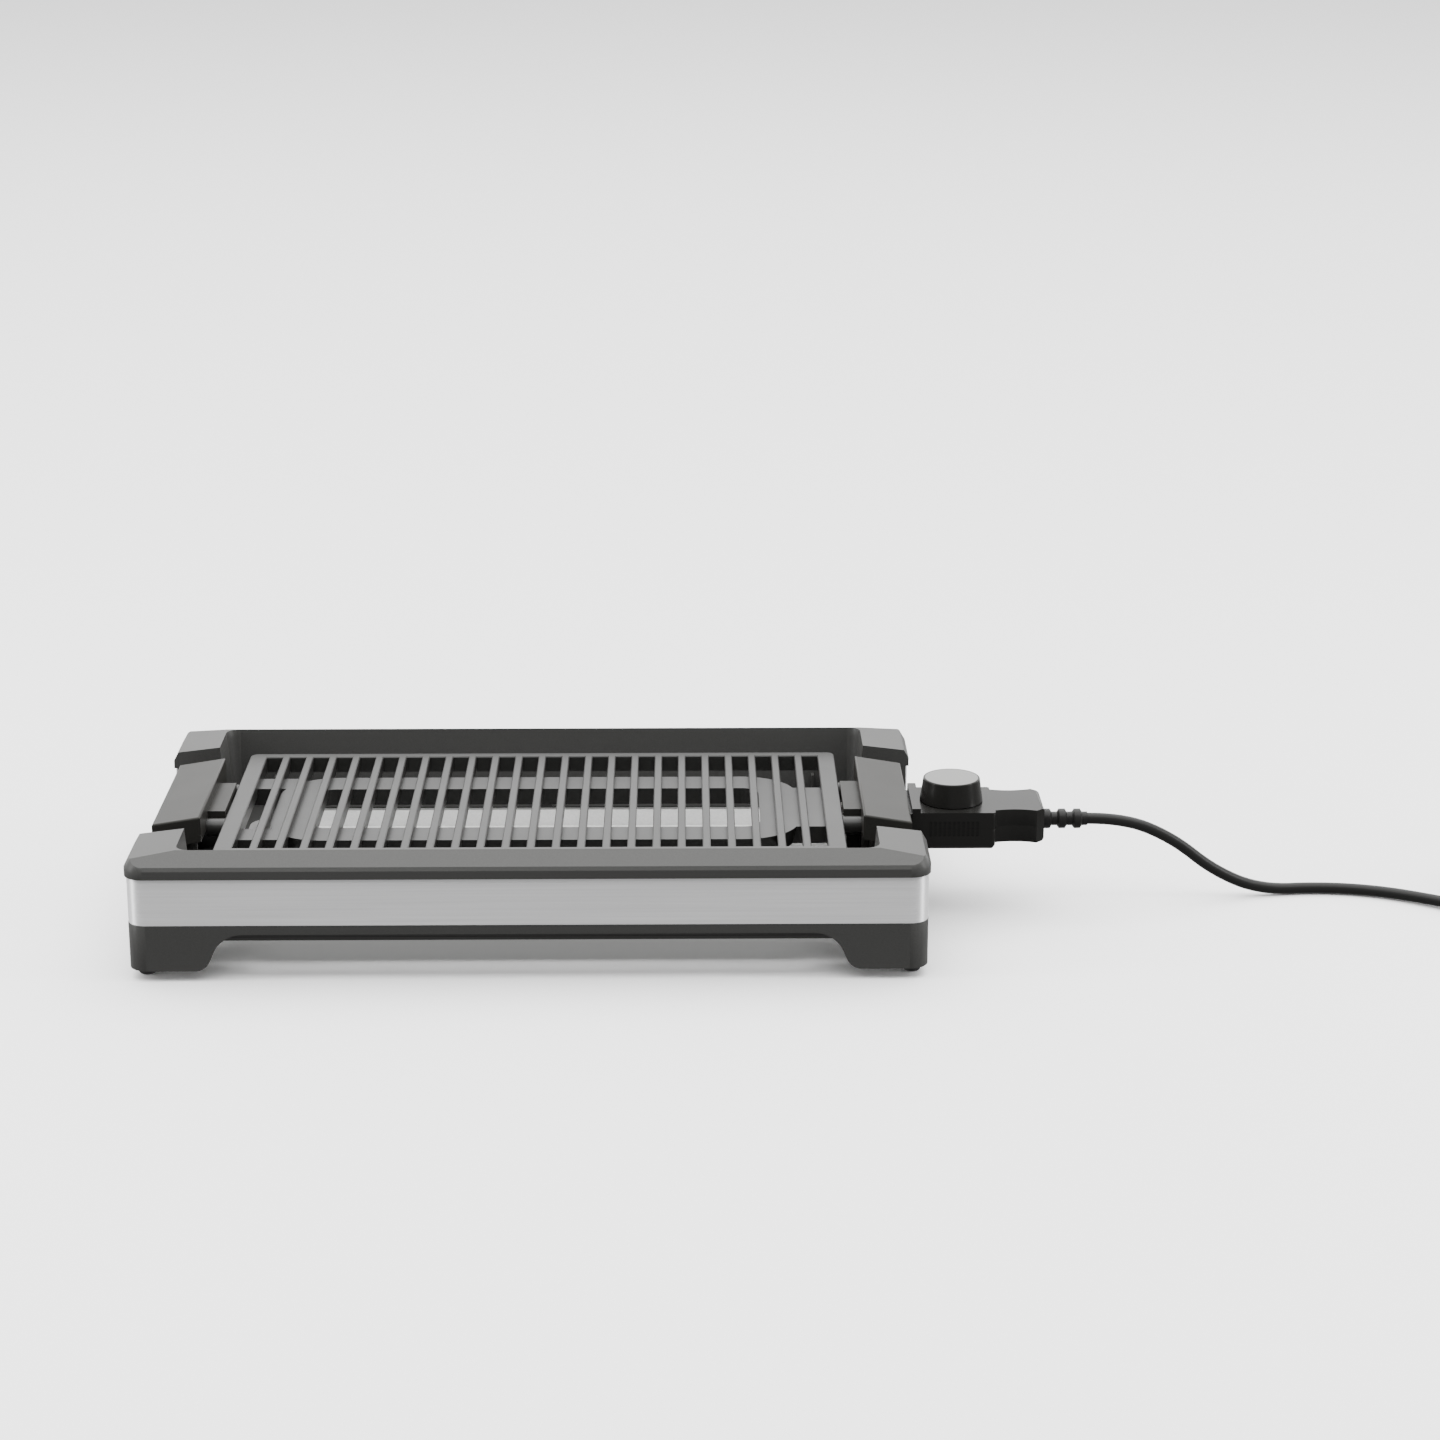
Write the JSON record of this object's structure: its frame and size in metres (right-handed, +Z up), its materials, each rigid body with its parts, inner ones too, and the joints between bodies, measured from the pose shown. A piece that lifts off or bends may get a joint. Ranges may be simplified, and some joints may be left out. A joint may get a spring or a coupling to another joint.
{
  "type": "electric table grill",
  "caption": "Electric table grill: arched base frame with a steel band, lift-out drip tray, slotted cast plate with side handles, and a plug-in probe thermostat on a coiled lead.",
  "frame": {"origin": "on the table under the middle of the base frame, at the centre of its four feet", "axes": "+X along the grill towards the probe, +Y to the rear, +Z up"},
  "size_m": [0.9, 0.26, 0.0799],
  "materials": {
    "frame_plastic": "fine satin grain",
    "band_steel": "brushed along its length",
    "foot_rubber": "matt",
    "plain_steel": "plain drawn",
    "tray_aluminium": "satin pressed sheet",
    "plate_casting": "dark non-stick coat",
    "heater_steel": "dull",
    "white_ceramic": "unglazed",
    "handle_plastic": "satin",
    "probe_plastic": "satin",
    "bright_disc": "satin",
    "contact_brass": "plain",
    "cord_rubber": "satin",
    "pin_nickel": "bright"
  },
  "bodies": {
    "base": {"upper_frame": "frame_plastic", "lower_frame": "frame_plastic", "band_front": "band_steel", "band_rear": "band_steel", "foot_front_left": "foot_rubber", "foot_front_right": "foot_rubber", "foot_rear_left": "foot_rubber", "foot_rear_right": "foot_rubber", "frame_screws": "plain_steel", "interlock_pin": "plain_steel"},
    "wire_arm": {"interlock_arm": "plain_steel"},
    "tray": {"drip_tray": "tray_aluminium"},
    "plate": {"grill_plate": "plate_casting", "heating_element": "heater_steel", "terminal_insulators": "white_ceramic", "terminal_pins": "plain_steel", "handle_left": "handle_plastic", "handle_right": "handle_plastic", "handle_screws": "plain_steel"},
    "probe": {"probe_rod": "plain_steel", "probe_housing_lower": "probe_plastic", "probe_housing_upper": "probe_plastic", "probe_screws": "plain_steel", "contact_sleeves": "contact_brass", "thermostat_bracket": "plain_steel", "bimetal_blade": "plain_steel", "contact_blade": "contact_brass", "ceramic_stack": "white_ceramic", "shaft_bush": "contact_brass", "strain_relief": "cord_rubber", "cord_lead": "cord_rubber", "cord_coil": "cord_rubber", "cord_tie": "cord_rubber", "plug_body": "probe_plastic", "plug_pins": "pin_nickel"},
    "knob": {"knob": "probe_plastic", "knob_cap": "bright_disc", "knob_shaft": "plain_steel"}
  },
  "joints": [
    {"name": "plate_lift", "type": "slide", "parent": "base", "child": "plate", "axis": [0, 0, 1], "range_m": [0, 0.185]},
    {"name": "tray_lift", "type": "slide", "parent": "base", "child": "tray", "axis": [0, 0, 1], "range_m": [0, 0.143]},
    {"name": "wire_arm_turn", "type": "hinge", "parent": "base", "child": "wire_arm", "pos_m": [0.204, 0.02, 0.0343], "axis": [-1, 0, 0], "range_deg": [0, 78]},
    {"name": "probe_pull", "type": "slide", "parent": "plate", "child": "probe", "axis": [1, 0, 0], "range_m": [0, 0.1035]},
    {"name": "knob_turn", "type": "hinge", "parent": "probe", "child": "knob", "pos_m": [0.2505, 0, 0.07], "axis": [0, 0, -1], "range_deg": [0, 270]}
  ],
  "couplings": [
    {"joint": "tray_lift", "follows": "plate_lift", "ratio": 0.77297},
    {"joint": "wire_arm_turn", "follows": "plate_lift", "rad_per_m": 7.3587}
  ]
}
